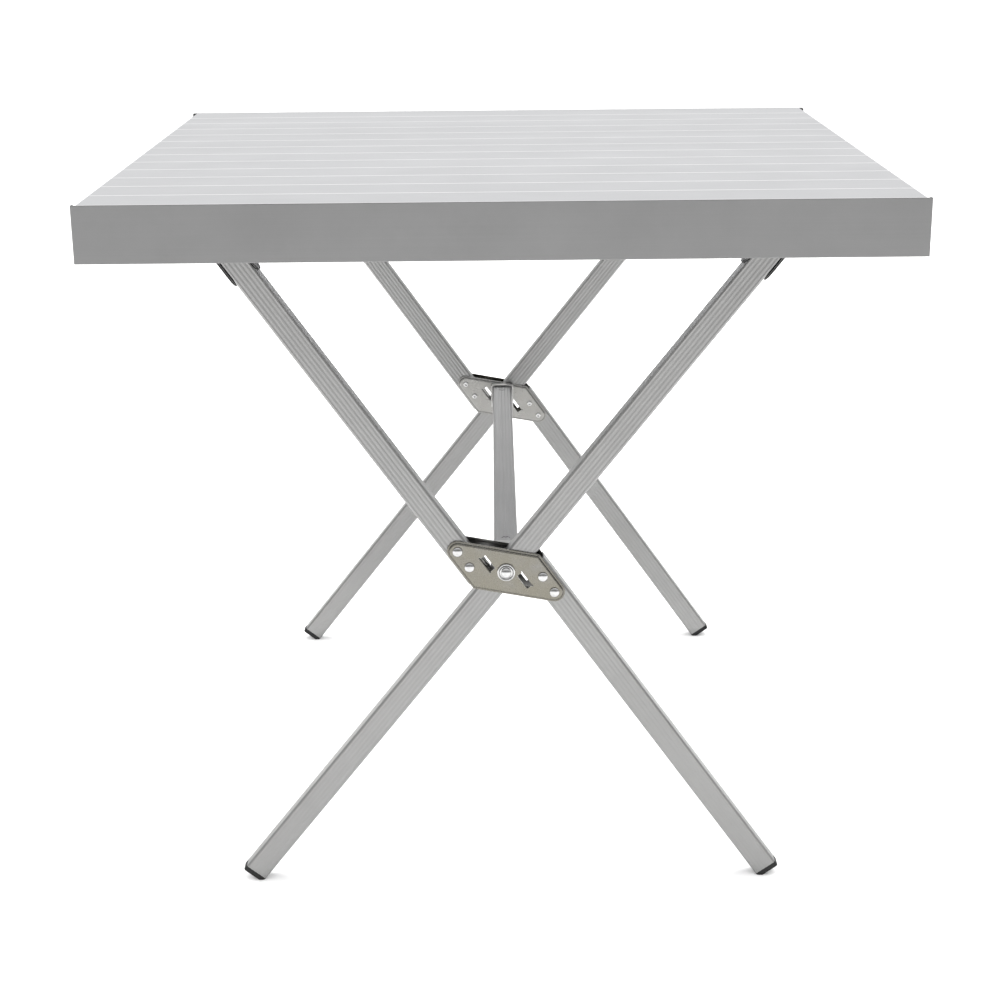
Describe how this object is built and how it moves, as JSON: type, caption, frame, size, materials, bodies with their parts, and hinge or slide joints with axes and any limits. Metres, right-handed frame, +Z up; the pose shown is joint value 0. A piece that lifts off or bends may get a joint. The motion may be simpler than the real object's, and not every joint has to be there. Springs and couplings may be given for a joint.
{
  "type": "folding side table",
  "caption": "Square slatted aluminium side table on a riveted scissor frame of fluted tube that folds sideways under the top.",
  "frame": {"origin": "on the floor, under the middle of the table top", "axes": "+X to the right along the slats and the aprons, +Y to the back along the rails and the stretcher, +Z up"},
  "size_m": [0.775, 0.7482, 0.7],
  "materials": {
    "slat_aluminium": "satin silver anodised, fine brushing along the slat",
    "apron_aluminium": "satin grey anodised",
    "carrier_aluminium": "mill finish extrusion",
    "leg_aluminium": "satin anodised, fluted extrusion",
    "rail_aluminium": "satin drawn tube",
    "zinc_plated_steel": "zinc plated pressed sheet, slightly yellowed",
    "rivet_steel": "bright zinc plated",
    "dark_steel": "dark plated strap",
    "foot_rubber": "matt black"
  },
  "bodies": {
    "half_leg_frame": {"front_upper_half_leg": "leg_aluminium", "front_lower_half_leg": "leg_aluminium", "front_left_leg_bracket": "dark_steel", "front_left_bracket_rivet": "rivet_steel", "front_right_foot": "foot_rubber", "front_outer_hub_plate": "zinc_plated_steel", "front_inner_hub_plate": "zinc_plated_steel", "front_hub_rivet_1": "rivet_steel", "front_hub_rivet_2": "rivet_steel", "front_hub_rivet_3": "rivet_steel", "front_hub_rivet_4": "rivet_steel", "front_pivot_rivet": "rivet_steel", "front_pivot_washer": "rivet_steel", "front_stretcher_socket": "zinc_plated_steel", "rear_upper_half_leg": "leg_aluminium", "rear_lower_half_leg": "leg_aluminium", "rear_left_leg_bracket": "dark_steel", "rear_left_bracket_rivet": "rivet_steel", "rear_right_foot": "foot_rubber", "rear_outer_hub_plate": "zinc_plated_steel", "rear_inner_hub_plate": "zinc_plated_steel", "rear_hub_rivet_1": "rivet_steel", "rear_hub_rivet_2": "rivet_steel", "rear_hub_rivet_3": "rivet_steel", "rear_hub_rivet_4": "rivet_steel", "rear_pivot_rivet": "rivet_steel", "rear_pivot_washer": "rivet_steel", "rear_stretcher_socket": "zinc_plated_steel", "stretcher": "leg_aluminium", "left_rail": "rail_aluminium"},
    "long_legs": {"front_long_leg": "leg_aluminium", "front_right_leg_bracket": "dark_steel", "front_right_bracket_rivet": "rivet_steel", "front_left_foot": "foot_rubber", "rear_long_leg": "leg_aluminium", "rear_right_leg_bracket": "dark_steel", "rear_right_bracket_rivet": "rivet_steel", "rear_left_foot": "foot_rubber", "right_rail": "rail_aluminium"},
    "top": {"slat_01": "slat_aluminium", "slat_02": "slat_aluminium", "slat_03": "slat_aluminium", "slat_04": "slat_aluminium", "slat_05": "slat_aluminium", "slat_06": "slat_aluminium", "slat_07": "slat_aluminium", "slat_08": "slat_aluminium", "slat_09": "slat_aluminium", "slat_10": "slat_aluminium", "slat_11": "slat_aluminium", "slat_12": "slat_aluminium", "slat_13": "slat_aluminium", "front_apron": "apron_aluminium", "rear_apron": "apron_aluminium", "left_slat_carrier": "carrier_aluminium", "right_slat_carrier": "carrier_aluminium", "front_rail_keeper": "dark_steel", "rear_rail_keeper": "dark_steel"}
  },
  "joints": [
    {"name": "leg_fold", "type": "hinge", "parent": "half_leg_frame", "child": "long_legs", "pos_m": [0.0016, 0, 0.3347], "axis": [0, -1, 0], "range_deg": [0, 72]},
    {"name": "top_pivot", "type": "hinge", "parent": "half_leg_frame", "child": "top", "pos_m": [-0.26904, 0, 0.6713], "axis": [0, -1, 0], "range_deg": [0, 36]}
  ],
  "couplings": [
    {"joint": "top_pivot", "follows": "leg_fold", "ratio": 0.5}
  ]
}
